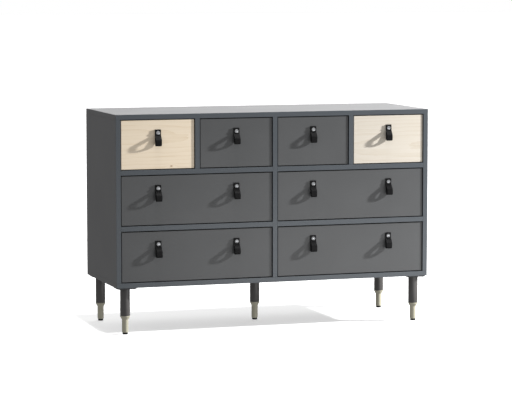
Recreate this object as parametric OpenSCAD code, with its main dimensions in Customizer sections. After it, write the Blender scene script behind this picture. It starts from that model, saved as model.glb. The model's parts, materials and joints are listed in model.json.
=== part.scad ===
// Free-standing dresser: a board carcass on five turned legs, with eight drawers in three rows.
// Millimetres. X runs along the width, the drawers open towards -Y, Z is up, and the floor is z = 0.

/* [Carcass] */
// Width over the side panels
body_width = 1200; // [1000:10:1500]
// Depth from the front edges to the rear edges
body_depth = 436; // [360:2:560]
// Clear height of the top drawer row
top_row_height = 182; // [150:1:260]
// Clear height of the middle drawer row
middle_row_height = 184; // [150:1:260]
// Clear height of the bottom drawer row
bottom_row_height = 187; // [150:1:260]
// Thickness of every carcass panel
panel = 18; // [18:1:25]

/* [Back panel] */
// Thickness of the back panel
back_thickness = 4; // [3:0.5:8]
// Distance from the rear edges to the back panel
back_inset = 10; // [5:1:20]
// Depth of the grooves that hold the back panel
back_groove_depth = 8; // [5:0.5:9]

/* [Drawer fronts] */
// Thickness of a drawer front
front_thickness = 18; // [16:1:22]
// Gap between a front and the panels round it
front_gap = 3; // [1.5:0.5:4]
// How far the fronts sit behind the carcass edges
front_recess = 3; // [0:0.5:6]

/* [Drawer boxes] */
// Thickness of the drawer box boards
box_board = 12; // [10:1:16]
// Space between a box side and the bay wall, for the runner
box_side_space = 13; // [13:0.5:16]
// Height of the box's lower edge above the floor of its bay
box_lift = 14; // [8:1:20]
// Free height above the box's upper edge
box_top_space = 38; // [20:1:50]
// Free depth behind the box when the drawer is closed
box_rear_space = 21; // [10:1:40]
// Thickness of the drawer bottom
bottom_thickness = 4; // [3:0.5:6]
// Height of the drawer bottom above the box's lower edge
bottom_lift = 10; // [8:1:16]
// Depth of the grooves that hold the drawer bottom
bottom_groove_depth = 5; // [3:0.5:7]

/* [Runners] */
// Thickness of the runner sheet
runner_sheet = 1.2; // [1:0.1:1.5]
// Height of the fixed channel
channel_height = 42; // [38:1:48]
// Distance that the channel's lips stand out from the bay wall
channel_reach = 10; // [9:0.5:11]
// Height of the slide on the drawer
slide_height = 28; // [24:1:30]
// Distance that the slide's lips stand out from the box side
slide_reach = 8; // [7:0.5:9]
// Height of the runner's centre line above the box's lower edge
runner_rise = 45; // [30:1:60]
// Length of a nylon guide pad
pad_length = 39; // [30:1:45]

/* [Pulls] */
// Width of the leather strap
strap_width = 22; // [16:1:30]
// Thickness of the leather
strap_thickness = 2.5; // [2:0.1:4]
// Distance that the loop stands out from the drawer front
strap_reach = 24; // [20:1:35]
// Distance from the screw up to the strap's ends
strap_head = 12; // [9:1:18]
// Distance from the screw down to the fold
strap_drop = 46; // [40:1:60]
// Distance from the screw down to where the two layers part
strap_parting = 9; // [8:0.5:12]
// Distance from the screw down to where the outer layer is at full reach
strap_shoulder = 27; // [22:1:30]
// Distance from the front to the inner layer at the bottom of the loop
strap_sag = 7; // [0:0.5:8]
// Distance from a front's top edge down to the pull screw
pull_drop = 46; // [25:1:60]
// Diameter of the pull screw's head
pull_head_diameter = 14; // [10:0.5:18]
// Height of the pull screw's head
pull_head_height = 3.2; // [2.5:0.1:5]

/* [Legs] */
// Diameter of the leg post
post_diameter = 36; // [28:1:50]
// Length of the leg post
post_length = 100; // [60:1:160]
// Diameter of the leg's tip
tip_diameter = 23.5; // [20:0.5:30]
// Length of the leg's tip
tip_length = 61; // [40:1:80]
// Height of the rim at the top of the tip, as wide as the post
tip_rim = 3; // [1:0.5:8]
// Length of the taper below the rim
tip_taper = 11; // [6:1:20]
// Diameter of the glide
glide_diameter = 19.5; // [14:0.5:20]
// Height of the glide
glide_height = 7; // [4:0.5:10]
// Side length of the leg plate
leg_plate_size = 72; // [60:1:76]
// Thickness of the leg plate
leg_plate_thickness = 4; // [2.5:0.5:6]
// Distance from the body's side to a corner leg's centre
leg_side_inset = 41; // [40:1:90]
// Distance from the body's front or rear to a corner leg's centre
leg_front_inset = 38; // [38:1:90]
// Distance of the centre leg behind the middle of the depth
centre_leg_setback = 26; // [0:1:60]

/* [Fits] */
// Diameter clearance of dowels, pins and screw shanks in their holes
shank_fit = 0.1; // [0.05:0.05:0.2]
// Clearance round a panel in its groove, on each face
groove_clearance = 0.2; // [0.1:0.05:0.4]
// Glue line between two boards of a drawer box
glue_line = 0.1; // [0.05:0.05:0.2]
// Running clearance of a guide pad
pad_clearance = 0.3; // [0.2:0.05:0.5]

/* [Hidden] */
$fn = 48;
EPS = 0.01;

// Fasteners
DOWEL_D = 8;
DOWEL_LENGTH = 30;
DOWEL_FACE_DEPTH = 8;
DOWEL_FROM_FRONT = 60;
DOWEL_FROM_REAR = 80;
SCREW_D = 3.5;
SCREW_HEAD_D = 7;
SCREW_HEAD_H = 2.2;
CHANNEL_SCREW_GRIP = 8;
SLIDE_SCREW_GRIP = 8;
FRONT_SCREW_GRIP = 13;
RUNNER_SCREW_INSET = 60;
FRONT_SCREW_INSET = 30;
PLATE_SCREW_INSET = 9;
PULL_SCREW_D = 5;
PULL_SCREW_GRIP = 13;
PULL_SOCKET_D = 5;
PULL_SOCKET_DEPTH = 1.8;
FOLD_STEPS = 12;
LOOP_RADII = [6.5, 6.5, 10];
PLATE_CORNER_R = 8;
STUD_D = 8;
STUD_LENGTH = 30;
SPIGOT_D = 12;
SPIGOT_LENGTH = 18;
GLIDE_PIN_D = 6;
GLIDE_PIN_LENGTH = 14;
BLIND_HOLE_SPARE = 1;
PAD_SIDE_CLEARANCE = 0.8;
PAD_LIP_SETBACK = 0.5;
STOP_TAB_REACH = 8;
STOP_TAB_CLEARANCE = 0.3;

// The frame: centred on the outer box, in which the pulls stand out at the front
pull_overhang = strap_reach - front_recess;
front_y = (pull_overhang - body_depth) / 2;
rear_y = front_y + body_depth;
leg_height = leg_plate_thickness + post_length + tip_length + glide_height;

// Carcass levels and widths
base_z = leg_height;
row_clear = [top_row_height, middle_row_height, bottom_row_height];
row_floor = [
    base_z + 3 * panel + bottom_row_height + middle_row_height,
    base_z + 2 * panel + bottom_row_height,
    base_z + panel
];
top_z = row_floor[0] + top_row_height;
upright_height = top_z - row_floor[2];
half_clear = (body_width - 3 * panel) / 2;
small_clear = (half_clear - panel) / 2;
half_left = [-body_width / 2 + panel, panel / 2];

// Depths
back_front_y = rear_y - back_inset - back_thickness;
inner_depth = back_front_y - front_y - groove_clearance;
face_y = front_y + front_recess;
box_front_y = face_y + front_thickness;
box_depth = back_front_y - box_rear_space - box_front_y;
front_depth_rows = [front_y + DOWEL_FROM_FRONT, rear_y - DOWEL_FROM_REAR];

// The plate screws end short of the groove that the back panel stands in
plate_screw_grip = panel - back_groove_depth - BLIND_HOLE_SPARE;

// Runner fit: levels measured from the runner's centre line
channel_inner = channel_height / 2 - runner_sheet;
slide_outer = slide_height / 2;
pad_height = channel_inner - slide_outer - pad_clearance;
pad_width = channel_reach - runner_sheet - PAD_SIDE_CLEARANCE - PAD_LIP_SETBACK;

// Drawers, numbered from 0: four small ones in the top row, then two wide ones in each lower row
DRAWERS = [
    "top_outer_left", "top_inner_left", "top_inner_right", "top_outer_right",
    "middle_left", "middle_right", "bottom_left", "bottom_right"
];
PALE_FRONTS = [0, 3];
SMALL_COUNT = 4;

function is_small(i) = i < SMALL_COUNT;
function row_of(i) = is_small(i) ? 0 : (i < 6 ? 1 : 2);
function half_of(i) = is_small(i) ? floor(i / 2) : i % 2;
function bay_left(i) = half_left[half_of(i)] + (is_small(i) ? (i % 2) * (small_clear + panel) : 0);
function bay_width(i) = is_small(i) ? small_clear : half_clear;
function small_centre(half, k) = half_left[half] + k * (small_clear + panel) + small_clear / 2;
function pull_centres(i) = is_small(i)
    ? [small_centre(half_of(i), i % 2)]
    : [small_centre(half_of(i), 0), small_centre(half_of(i), 1)];
function front_low_z(i) = row_floor[row_of(i)] + front_gap;
function front_high_z(i) = row_floor[row_of(i)] + row_clear[row_of(i)] - front_gap;
function pull_z(i) = front_high_z(i) - pull_drop;
function box_low_z(i) = row_floor[row_of(i)] + box_lift;
function box_height(i) = row_clear[row_of(i)] - box_lift - box_top_space;
function box_left(i) = bay_left(i) + box_side_space;
function box_width(i) = bay_width(i) - 2 * box_side_space;
function runner_z(i) = box_low_z(i) + runner_rise;
function is_pale(i) = len(search(i, PALE_FRONTS)) > 0;

// Legs: the plate centres
leg_x = body_width / 2 - leg_side_inset;
LEGS = [
    [-leg_x, front_y + leg_front_inset],
    [leg_x, front_y + leg_front_inset],
    [-leg_x, rear_y - leg_front_inset],
    [leg_x, rear_y - leg_front_inset],
    [0, (front_y + rear_y) / 2 + centre_leg_setback]
];

// Colours
GRAPHITE = "#4d5257";
GRAPHITE_FRONT = "#585a5b";
PALE_WOOD = "#e6d6c2";
BOARD_GREY = "#8f9193";
BACK_GREY = "#5b5e61";
BEECH = "#d2b48c";
STEEL = "#c8cacc";
ZINC = "#a9acae";
NYLON = "#ecebe6";
LEATHER = "#232323";
POST_GREY = "#4e4b4b";
CREAM = "#cfc8b4";
RUBBER = "#141414";

// ---- Shapes that repeat ----

// A screw along Z: its shank below the seat at z = 0 and its head above it
module screw(grip, head_d = SCREW_HEAD_D, head_h = SCREW_HEAD_H, shank_d = SCREW_D) {
    translate([0, 0, -grip])
        cylinder(d = shank_d, h = grip + EPS);
    cylinder(d = head_d, h = head_h);
}

// The hole that a shank of diameter d goes into, below z = 0 and a little past it
module shank_hole(d, depth) {
    translate([0, 0, -depth - BLIND_HOLE_SPARE])
        cylinder(d = d + shank_fit, h = depth + 2 * BLIND_HOLE_SPARE);
}

// Turns a +Z shape to face +X (side = 1) or -X (side = -1)
module facing_x(side) {
    rotate([0, 90 * side, 0])
        children();
}

// Turns a +Z shape to face -Y
module facing_front() {
    rotate([90, 0, 0])
        children();
}

// Turns a +Z shape to face +Y
module facing_rear() {
    rotate([-90, 0, 0])
        children();
}

// ---- Joints between panels ----

// Upright panels that meet the top and bottom panels: their centre lines
UPRIGHTS = [-body_width / 2 + panel / 2, 0, body_width / 2 - panel / 2];
BAY_DIVIDERS = [for (half = [0, 1]) half_left[half] + small_clear + panel / 2];
SHELF_LEVELS = [row_floor[0] - panel / 2, row_floor[1] - panel / 2];

// Each dowel joint: [x, z, direction in which the dowel enters the receiving panel's face]
UPRIGHT_JOINTS = [for (x = UPRIGHTS) for (end = [[top_z, 1], [row_floor[2], -1]]) [x, end[0], end[1]]];
DIVIDER_JOINTS = [for (x = BAY_DIVIDERS) for (end = [[top_z, 1], [row_floor[0], -1]]) [x, end[0], end[1]]];
SHELF_JOINTS = [
    for (z = SHELF_LEVELS) for (half = [0, 1]) for (end = [[0, -1], [half_clear, 1]])
        [half_left[half] + end[0], z, end[1]]
];

// A dowel whose middle length is set so that DOWEL_FACE_DEPTH of it is above z = 0
module dowel_shape(extra_d = 0, spare = 0) {
    translate([0, 0, DOWEL_FACE_DEPTH - DOWEL_LENGTH - spare])
        cylinder(d = DOWEL_D + extra_d, h = DOWEL_LENGTH + 2 * spare);
}

// Every dowel place, or the holes for them where holes is true
module dowel_places(holes = false) {
    extra = holes ? shank_fit : 0;
    spare = holes ? shank_fit : 0;
    for (y = front_depth_rows) {
        for (joint = concat(UPRIGHT_JOINTS, DIVIDER_JOINTS))
            translate([joint[0], y, joint[1]])
                rotate([joint[2] > 0 ? 0 : 180, 0, 0])
                    dowel_shape(extra, spare);
        for (joint = SHELF_JOINTS)
            translate([joint[0], y, joint[1]])
                facing_x(joint[2])
                    dowel_shape(extra, spare);
    }
}

// The groove that the back panel stands in, as one block
module back_groove() {
    translate([
        -body_width / 2 + panel - back_groove_depth,
        back_front_y - groove_clearance,
        row_floor[2] - back_groove_depth
    ])
        cube([
            body_width - 2 * panel + 2 * back_groove_depth,
            back_thickness + 2 * groove_clearance,
            upright_height + 2 * back_groove_depth
        ]);
}

// ---- Runners ----

// Places its children on the wall of bay i: side 0 is the left wall, 1 the right one, mirrored.
// Local X points from the wall into the bay, and y = 0 is the front end of the runner.
module at_runner(i, side) {
    translate([bay_left(i) + side * bay_width(i), box_front_y, runner_z(i)])
        mirror([side, 0, 0])
            children();
}

// Where the screws of a runner member stand along its length
function runner_screw_ys() = [RUNNER_SCREW_INSET, box_depth - RUNNER_SCREW_INSET];

// Places a channel screw, facing into the bay
module at_channel_screws() {
    for (y = runner_screw_ys())
        translate([runner_sheet, y, 0])
            facing_x(1)
                children();
}

// Places a slide screw, facing the bay wall
module at_slide_screws() {
    for (y = runner_screw_ys())
        translate([box_side_space - runner_sheet, y, 0])
            facing_x(-1)
                children();
}

// The holes that the channel screws need, in the channel and in the bay wall
module channel_screw_holes() {
    for (i = [0 : len(DRAWERS) - 1])
        for (side = [0, 1])
            at_runner(i, side)
                at_channel_screws()
                    shank_hole(SCREW_D, CHANNEL_SCREW_GRIP + runner_sheet - BLIND_HOLE_SPARE);
}

// The fixed C-channel with a stop tab at its rear end
module channel() {
    difference() {
        union() {
            translate([0, 0, -channel_height / 2])
                cube([runner_sheet, box_depth + runner_sheet + STOP_TAB_CLEARANCE, channel_height]);
            for (z = [-channel_height / 2, channel_height / 2 - runner_sheet])
                translate([0, 0, z])
                    cube([channel_reach, box_depth, runner_sheet]);
            translate([0, box_depth + STOP_TAB_CLEARANCE, -slide_outer])
                cube([STOP_TAB_REACH, runner_sheet, slide_height]);
        }
        at_channel_screws()
            shank_hole(SCREW_D, runner_sheet);
    }
}

// The slide on the drawer: a shallow channel that opens towards the bay wall
module slide() {
    difference() {
        translate([box_side_space - slide_reach, 0, -slide_outer])
            cube([slide_reach, box_depth, slide_height]);
        translate([box_side_space - slide_reach - EPS, -EPS, -slide_outer + runner_sheet])
            cube([slide_reach - runner_sheet + EPS, box_depth + 2 * EPS, slide_height - 2 * runner_sheet]);
        at_slide_screws()
            shank_hole(SCREW_D, runner_sheet);
    }
}

// One guide pad, above or below the slide (level 1 or -1), at distance y; its low face is at z
module guide_pad(y, z, level, height) {
    translate([runner_sheet + PAD_SIDE_CLEARANCE, y, level > 0 ? z : -z - height])
        cube([pad_width, pad_length, height]);
}

// ---- Carcass panels ----

module holed_panel() {
    difference() {
        children();
        dowel_places(holes = true);
        back_groove();
        channel_screw_holes();
    }
}

module top_panel() {
    color(GRAPHITE)
        holed_panel()
            translate([-body_width / 2, front_y, top_z])
                cube([body_width, body_depth, panel]);
}

module bottom_panel() {
    color(GRAPHITE)
        difference() {
            holed_panel()
                translate([-body_width / 2, front_y, base_z])
                    cube([body_width, body_depth, panel]);
            at_plate_screws()
                shank_hole(SCREW_D, plate_screw_grip + leg_plate_thickness - BLIND_HOLE_SPARE);
        }
}

module side_panel(x) {
    color(GRAPHITE)
        holed_panel()
            translate([x - panel / 2, front_y, row_floor[2]])
                cube([panel, body_depth, upright_height]);
}

module left_side() {
    side_panel(UPRIGHTS[0]);
}

module right_side() {
    side_panel(UPRIGHTS[2]);
}

module centre_divider() {
    color(GRAPHITE)
        holed_panel()
            translate([-panel / 2, front_y, row_floor[2]])
                cube([panel, inner_depth, upright_height]);
}

module shelf(half, level) {
    color(GRAPHITE)
        holed_panel()
            translate([half_left[half], front_y, SHELF_LEVELS[level] - panel / 2])
                cube([half_clear, inner_depth, panel]);
}

module bay_divider(half) {
    color(GRAPHITE)
        holed_panel()
            translate([BAY_DIVIDERS[half] - panel / 2, front_y, row_floor[0]])
                cube([panel, inner_depth, top_row_height]);
}

module back_panel() {
    spread = back_groove_depth - groove_clearance;
    color(BACK_GREY)
        translate([-body_width / 2 + panel - spread, back_front_y, row_floor[2] - spread])
            cube([body_width - 2 * panel + 2 * spread, back_thickness, upright_height + 2 * spread]);
}

module panel_dowels() {
    color(BEECH)
        dowel_places();
}

module runner_channels() {
    color(ZINC)
        for (i = [0 : len(DRAWERS) - 1])
            for (side = [0, 1])
                at_runner(i, side)
                    channel();
}

module channel_pads() {
    color(NYLON)
        for (i = [0 : len(DRAWERS) - 1])
            for (side = [0, 1])
                for (level = [-1, 1])
                    at_runner(i, side)
                        guide_pad(0, slide_outer + pad_clearance, level, pad_height);
}

module carcass_screws() {
    color(STEEL) {
        for (i = [0 : len(DRAWERS) - 1])
            for (side = [0, 1])
                at_runner(i, side)
                    at_channel_screws()
                        screw(CHANNEL_SCREW_GRIP + runner_sheet);
        at_plate_screws()
            screw(plate_screw_grip + leg_plate_thickness);
    }
}

// ---- Legs ----

// Places its children at every plate screw, facing down
module at_plate_screws() {
    reach = leg_plate_size / 2 - PLATE_SCREW_INSET;
    for (leg = LEGS)
        for (dx = [-reach, reach])
            for (dy = [-reach, reach])
                translate([leg[0] + dx, leg[1] + dy, base_z - leg_plate_thickness])
                    rotate([180, 0, 0])
                        children();
}

module at_legs(z) {
    for (leg = LEGS)
        translate([leg[0], leg[1], z])
            children();
}

module rounded_square(size, radius) {
    square([size, size - 2 * radius], center = true);
    square([size - 2 * radius, size], center = true);
    for (dx = [-1, 1])
        for (dy = [-1, 1])
            translate([dx * (size / 2 - radius), dy * (size / 2 - radius)])
                circle(r = radius);
}

module leg_plates() {
    color(POST_GREY)
        difference() {
            at_legs(base_z - leg_plate_thickness) {
                linear_extrude(height = leg_plate_thickness)
                    rounded_square(leg_plate_size, PLATE_CORNER_R);
                translate([0, 0, -STUD_LENGTH])
                    cylinder(d = STUD_D, h = STUD_LENGTH + EPS);
            }
            at_plate_screws()
                shank_hole(SCREW_D, leg_plate_thickness);
        }
}

module leg_posts() {
    color(POST_GREY)
        at_legs(glide_height + tip_length)
            difference() {
                cylinder(d = post_diameter, h = post_length);
                translate([0, 0, post_length])
                    shank_hole(STUD_D, STUD_LENGTH);
                rotate([180, 0, 0])
                    shank_hole(SPIGOT_D, SPIGOT_LENGTH);
            }
}

module leg_tips() {
    color(CREAM)
        at_legs(glide_height)
            difference() {
                union() {
                    cylinder(d = tip_diameter, h = tip_length - tip_rim - tip_taper);
                    translate([0, 0, tip_length - tip_rim - tip_taper])
                        cylinder(d1 = tip_diameter, d2 = post_diameter, h = tip_taper);
                    translate([0, 0, tip_length - tip_rim])
                        cylinder(d = post_diameter, h = tip_rim);
                    cylinder(d = SPIGOT_D, h = tip_length + SPIGOT_LENGTH);
                }
                rotate([180, 0, 0])
                    shank_hole(GLIDE_PIN_D, GLIDE_PIN_LENGTH);
            }
}

module leg_glides() {
    color(RUBBER)
        at_legs(0) {
            cylinder(d = glide_diameter, h = glide_height);
            cylinder(d = GLIDE_PIN_D, h = glide_height + GLIDE_PIN_LENGTH);
        }
}

// ---- Drawers ----

// Places a front screw, facing the rear, in each corner of the inner front board
module at_front_screws(i) {
    for (x = [FRONT_SCREW_INSET, box_width(i) - FRONT_SCREW_INSET])
        for (z = [FRONT_SCREW_INSET, box_height(i) - FRONT_SCREW_INSET])
            translate([box_left(i) + x, box_front_y + box_board, box_low_z(i) + z])
                facing_rear()
                    children();
}

// Places the children at each pull screw of drawer i, on the front's face
module at_pulls(i) {
    for (x = pull_centres(i))
        translate([x, face_y, pull_z(i)])
            children();
}

module drawer_front(i) {
    color(is_pale(i) ? PALE_WOOD : GRAPHITE_FRONT)
        difference() {
            translate([bay_left(i) + front_gap, face_y, front_low_z(i)])
                cube([bay_width(i) - 2 * front_gap, front_thickness, front_high_z(i) - front_low_z(i)]);
            at_pulls(i)
                facing_front()
                    shank_hole(PULL_SCREW_D, PULL_SCREW_GRIP);
            at_front_screws(i)
                shank_hole(SCREW_D, box_board + FRONT_SCREW_GRIP);
        }
}

// The groove that the drawer bottom stands in, as one block
module bottom_groove(i) {
    inset = box_board - bottom_groove_depth;
    translate([box_left(i) + inset, box_front_y + inset, box_low_z(i) + bottom_lift - groove_clearance])
        cube([
            box_width(i) - 2 * inset,
            box_depth - 2 * inset,
            bottom_thickness + 2 * groove_clearance
        ]);
}

// Two sides over the full depth, with the inner front and the back board between them
module drawer_box(i) {
    color(BOARD_GREY)
        difference() {
            translate([box_left(i), box_front_y, box_low_z(i)]) {
                for (x = [0, box_width(i) - box_board])
                    translate([x, 0, 0])
                        cube([box_board, box_depth, box_height(i)]);
                for (y = [0, box_depth - box_board])
                    translate([box_board + glue_line, y, 0])
                        cube([box_width(i) - 2 * box_board - 2 * glue_line, box_board, box_height(i)]);
            }
            bottom_groove(i);
            at_front_screws(i)
                shank_hole(SCREW_D, box_board);
            for (side = [0, 1])
                at_runner(i, side)
                    at_slide_screws()
                        shank_hole(SCREW_D, SLIDE_SCREW_GRIP + runner_sheet - BLIND_HOLE_SPARE);
        }
}

module drawer_bottom(i) {
    inset = box_board - bottom_groove_depth + groove_clearance;
    color(BOARD_GREY)
        translate([box_left(i) + inset, box_front_y + inset, box_low_z(i) + bottom_lift])
            cube([box_width(i) - 2 * inset, box_depth - 2 * inset, bottom_thickness]);
}

// Strap outline seen from the side: [distance out from the front, height above the screw].
// Both layers lie together from the ends down to the parting. From there the inner layer hangs
// away from the front, turns outwards at the bottom and comes up at full reach as the outer layer,
// which leans back to the parting from its shoulder.
loop_start = [strap_thickness / 2, -strap_parting];
loop_end = [1.5 * strap_thickness, -strap_parting];
loop_corners = [
    [strap_sag + strap_thickness / 2, strap_thickness / 2 - strap_drop],
    [strap_reach - strap_thickness / 2, strap_thickness / 2 - strap_drop],
    [strap_reach - strap_thickness / 2, -strap_shoulder]
];

function unit(v) = v / norm(v);
function left_of(v) = [-v[1], v[0]];
function turned_round(points) = [for (k = [len(points) - 1 : -1 : 0]) points[k]];

// Where the line through a along u crosses the line through b along w
function crossing(a, u, b, w) = a + u * cross(b - a, w) / cross(u, w);

// The arc that rounds corner b of the line a-b-c, which turns left there, with radius r.
// It runs gap to the left of the line.
function corner_arc(a, b, c, r, gap) =
    let (
        u = unit(b - a),
        turn = acos(u * unit(c - b)),
        out = -left_of(u),
        centre = b - u * r * tan(turn / 2) - out * r,
        first = atan2(out[1], out[0])
    )
    [
        for (k = [0 : FOLD_STEPS])
            let (angle = first + turn * k / FOLD_STEPS)
            centre + (r - gap) * [cos(angle), sin(angle)]
    ];

// Points round the loop's three corners, gap to the left of its centre line
function loop_face(gap) =
    let (p = concat([loop_start], loop_corners, [loop_end]))
    [for (k = [1 : len(p) - 2]) each corner_arc(p[k - 1], p[k], p[k + 1], LOOP_RADII[k - 1], gap)];

module strap_outline() {
    inside = loop_face(strap_thickness / 2);
    meeting = crossing(
        inside[0], loop_corners[0] - loop_start,
        inside[len(inside) - 1], loop_end - loop_corners[2]
    );
    difference() {
        polygon(concat(
            [[0, strap_head], [2 * strap_thickness, strap_head], [2 * strap_thickness, -strap_parting]],
            turned_round(loop_face(-strap_thickness / 2)),
            [[0, -strap_parting]]
        ));
        polygon(concat([meeting], inside));
    }
}

module strap() {
    difference() {
        translate([-strap_width / 2, 0, 0])
            rotate([90, 0, 90])
                linear_extrude(height = strap_width)
                    mirror([1, 0])
                        strap_outline();
        translate([0, -2 * strap_thickness, 0])
            facing_front()
                shank_hole(PULL_SCREW_D, 2 * strap_thickness);
    }
}

module drawer_pulls(i) {
    color(LEATHER)
        at_pulls(i)
            strap();
}

// A low domed head with a hexagon socket, on a plain shank
module pull_screw() {
    dome_r = (pow(pull_head_diameter / 2, 2) + pow(pull_head_height, 2)) / (2 * pull_head_height);
    grip = 2 * strap_thickness + PULL_SCREW_GRIP;
    difference() {
        union() {
            intersection() {
                cylinder(d = pull_head_diameter, h = pull_head_height);
                translate([0, 0, pull_head_height - dome_r])
                    sphere(r = dome_r, $fn = 96);
            }
            translate([0, 0, -grip])
                cylinder(d = PULL_SCREW_D, h = grip + EPS);
        }
        translate([0, 0, pull_head_height - PULL_SOCKET_DEPTH])
            cylinder(d = PULL_SOCKET_D, h = PULL_SOCKET_DEPTH + EPS, $fn = 6);
    }
}

// The slides with their rear pads, and every screw that travels with the drawer
module drawer_fittings(i) {
    color(STEEL) {
        for (side = [0, 1])
            at_runner(i, side) {
                slide();
                at_slide_screws()
                    translate([0, 0, glue_line])
                        screw(SLIDE_SCREW_GRIP + runner_sheet);
                for (level = [-1, 1])
                    guide_pad(box_depth - pad_length, slide_outer + glue_line, level, pad_height - glue_line);
            }
        at_front_screws(i)
            screw(box_board + FRONT_SCREW_GRIP);
        at_pulls(i)
            translate([0, -2 * strap_thickness, 0])
                facing_front()
                    pull_screw();
    }
}

// ---- Nodes ----

top_panel();
bottom_panel();
left_side();
right_side();
centre_divider();
shelf(0, 0);  // upper_left_shelf
shelf(1, 0);  // upper_right_shelf
shelf(0, 1);  // lower_left_shelf
shelf(1, 1);  // lower_right_shelf
bay_divider(0);  // left_bay_divider
bay_divider(1);  // right_bay_divider
back_panel();
panel_dowels();
runner_channels();
channel_pads();
carcass_screws();
leg_plates();
leg_posts();
leg_tips();
leg_glides();
for (i = [0 : len(DRAWERS) - 1]) {
    drawer_front(i);
    drawer_box(i);
    drawer_bottom(i);
    drawer_pulls(i);
    drawer_fittings(i);
}
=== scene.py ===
"""Looks of a free-standing dresser with drawers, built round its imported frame.

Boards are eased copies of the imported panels, so every bore and groove stays. Legs, screws, pulls and
runners are surfaces worked out with numpy. Lengths are in metres, in the frame's own axes: X along
the width, the drawers open towards -Y, Z up, the floor at z = 0.
"""

import json
import logging
import math
from dataclasses import dataclass, field, replace
from enum import Enum
from functools import cached_property
from typing import Protocol, Sequence

import bpy
import numpy as np
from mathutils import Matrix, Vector


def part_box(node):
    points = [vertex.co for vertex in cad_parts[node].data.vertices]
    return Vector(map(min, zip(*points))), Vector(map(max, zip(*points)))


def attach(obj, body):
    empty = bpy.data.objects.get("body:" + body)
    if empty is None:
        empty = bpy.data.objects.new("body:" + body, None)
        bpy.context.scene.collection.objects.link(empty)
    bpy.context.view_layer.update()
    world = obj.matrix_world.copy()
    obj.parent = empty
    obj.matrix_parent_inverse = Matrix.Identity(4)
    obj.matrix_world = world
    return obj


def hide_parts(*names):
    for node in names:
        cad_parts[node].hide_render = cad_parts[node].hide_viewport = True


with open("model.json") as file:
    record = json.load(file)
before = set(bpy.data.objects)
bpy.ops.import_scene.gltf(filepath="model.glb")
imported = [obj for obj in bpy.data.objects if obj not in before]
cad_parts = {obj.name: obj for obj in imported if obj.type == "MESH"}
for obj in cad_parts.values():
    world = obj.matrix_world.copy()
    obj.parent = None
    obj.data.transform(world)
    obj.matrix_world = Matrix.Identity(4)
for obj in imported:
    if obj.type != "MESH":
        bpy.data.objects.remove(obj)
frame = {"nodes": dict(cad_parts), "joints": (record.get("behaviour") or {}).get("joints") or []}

log = logging.getLogger("dresser")

MM = 0.001
SHEET = 1.2 * MM
SEED = 20
CARCASS = "carcass"

Colour = tuple[float, float, float, float]
Socket = bpy.types.NodeSocket


# ---------------------------------------------------------------- node and colour helpers


def srgb(code: str, shade: float = 1.0) -> Colour:
    """Turns an sRGB hex colour into the linear colour that a shader socket takes.

    Args:
        code: Six hex digits after a hash sign.
        shade: Factor on the linear colour.

    Returns:
        Linear red, green, blue and an alpha of one.
    """
    digits = code.lstrip("#")
    parts = np.array([int(digits[k : k + 2], 16) / 255 for k in (0, 2, 4)])
    linear = np.where(parts <= 0.04045, parts / 12.92, ((parts + 0.055) / 1.055) ** 2.4)
    return tuple(float(c) for c in np.minimum(linear * shade, 1.0)) + (1.0,)


def grey(value: float) -> Colour:
    """Gives a linear grey as a colour."""
    return value, value, value, 1.0


def per_mm(size: float) -> float:
    """Gives the texture scale, in features a metre, of a feature that is size millimetres wide."""
    return 1000.0 / size


def feed(node: bpy.types.Node, inputs: dict) -> None:
    """Links or sets a node's inputs.

    Args:
        node: The node.
        inputs: Socket name or number to an output socket, which is linked, or to a plain value.
    """
    for key, value in inputs.items():
        if isinstance(value, Socket):
            node.id_data.links.new(value, node.inputs[key])
        else:
            node.inputs[key].default_value = value


def add(
    tree: bpy.types.NodeTree, kind: str, inputs: dict | None = None, **settings: object
) -> bpy.types.Node:
    """Adds one node, sets its properties, and links or sets its inputs.

    Args:
        tree: The node tree that gets the node.
        kind: Blender's class name of the node.
        inputs: What feed takes.
        settings: Properties of the node itself.

    Returns:
        The new node.
    """
    node = tree.nodes.new(kind)
    for name, value in settings.items():
        setattr(node, name, value)
    feed(node, inputs or {})
    return node


class Nodes:
    """The node tree of a material or a world, emptied and then filled."""

    def __init__(self, owner: bpy.types.Material | bpy.types.World) -> None:
        """Empties the owner's tree."""
        owner.use_nodes = True
        self.tree = owner.node_tree
        self.tree.nodes.clear()

    def add(self, kind: str, inputs: dict, output: int | str = 0, **settings: object) -> Socket:
        """Adds one node and gives one of its outputs."""
        return add(self.tree, kind, inputs, **settings).outputs[output]

    def maths(self, operation: str, *values: float | Socket) -> Socket:
        """Works on one to three values with a Math node."""
        return self.add("ShaderNodeMath", dict(enumerate(values)), operation=operation)

    def remap(
        self,
        value: Socket,
        low: float,
        high: float,
        start: float = 0.0,
        end: float = 1.0,
        easing: str = "LINEAR",
    ) -> Socket:
        """Carries a value's span from start to end onto low to high, and holds it beyond the ends."""
        inputs = {"Value": value, "From Min": start, "From Max": end, "To Min": low, "To Max": high}
        return self.add("ShaderNodeMapRange", inputs, "Result", interpolation_type=easing)


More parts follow.
